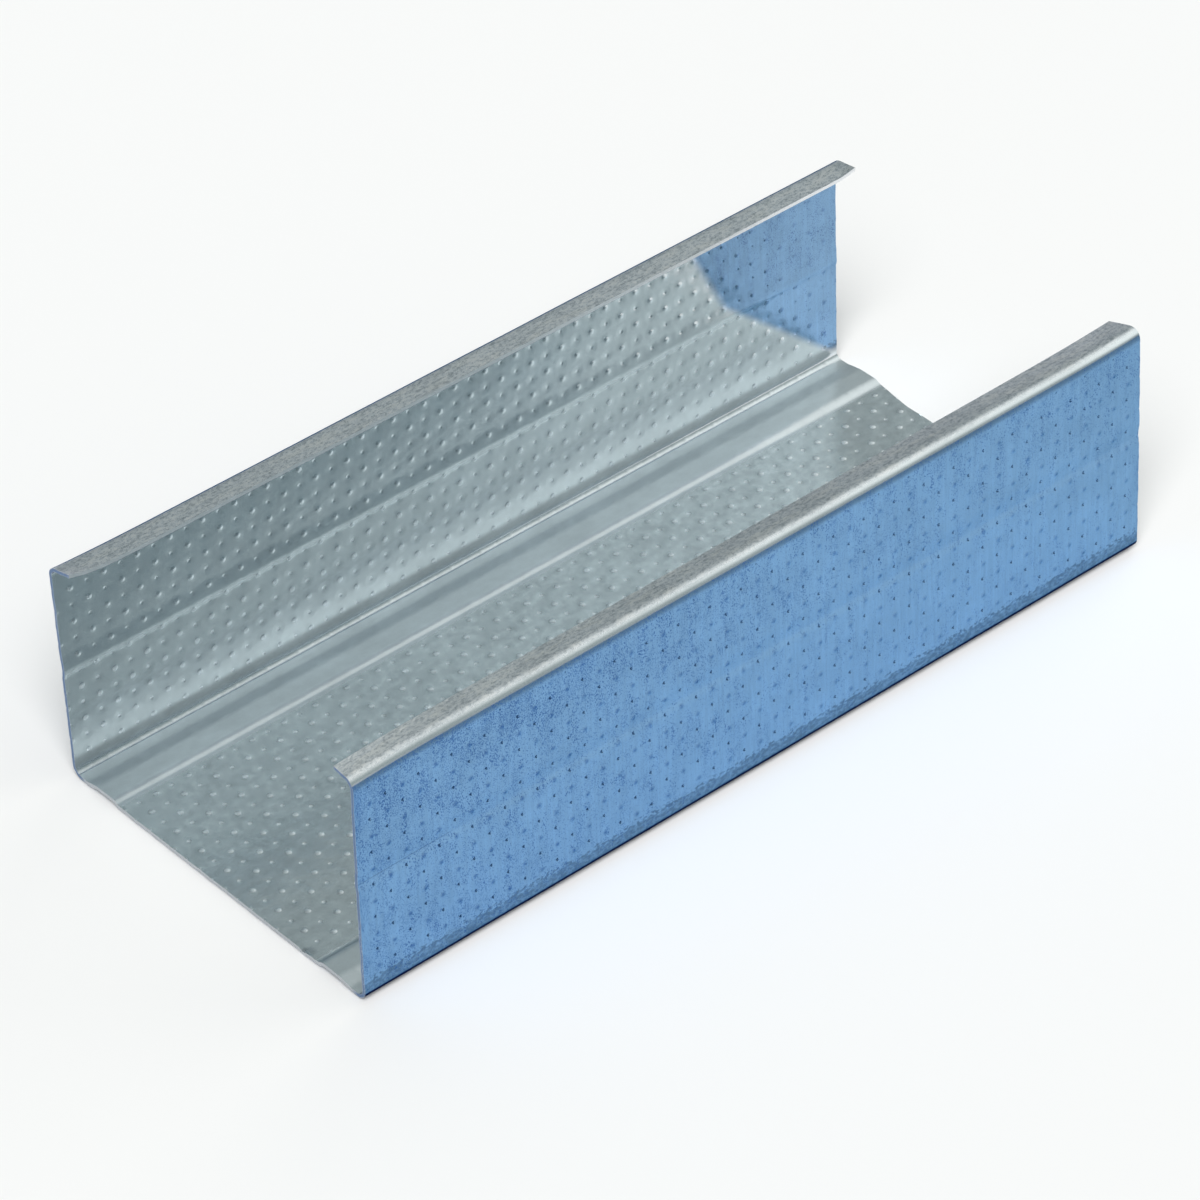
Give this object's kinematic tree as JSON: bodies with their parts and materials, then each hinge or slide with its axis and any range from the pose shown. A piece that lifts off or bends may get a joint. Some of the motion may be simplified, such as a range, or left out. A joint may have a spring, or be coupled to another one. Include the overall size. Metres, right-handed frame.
{
  "type": "steel stud",
  "caption": "Short piece of cold-rolled C-section drywall stud in thin galvanised sheet, dimpled all over, with turned-in lips, creased flanges and ribbed web.",
  "frame": {"origin": "middle of the length and width, on the plane of the web's back, on which the piece lies", "axes": "+X along the stud, +Y across the web from the taller flange towards the lower one, +Z from the web towards the open side with the lips"},
  "size_m": [0.153, 0.0688, 0.041],
  "materials": {
    "zinc": "hot-dip galvanised, satin, dimpled"
  },
  "bodies": {
    "root": {"stud": "zinc"}
  },
  "joints": []
}
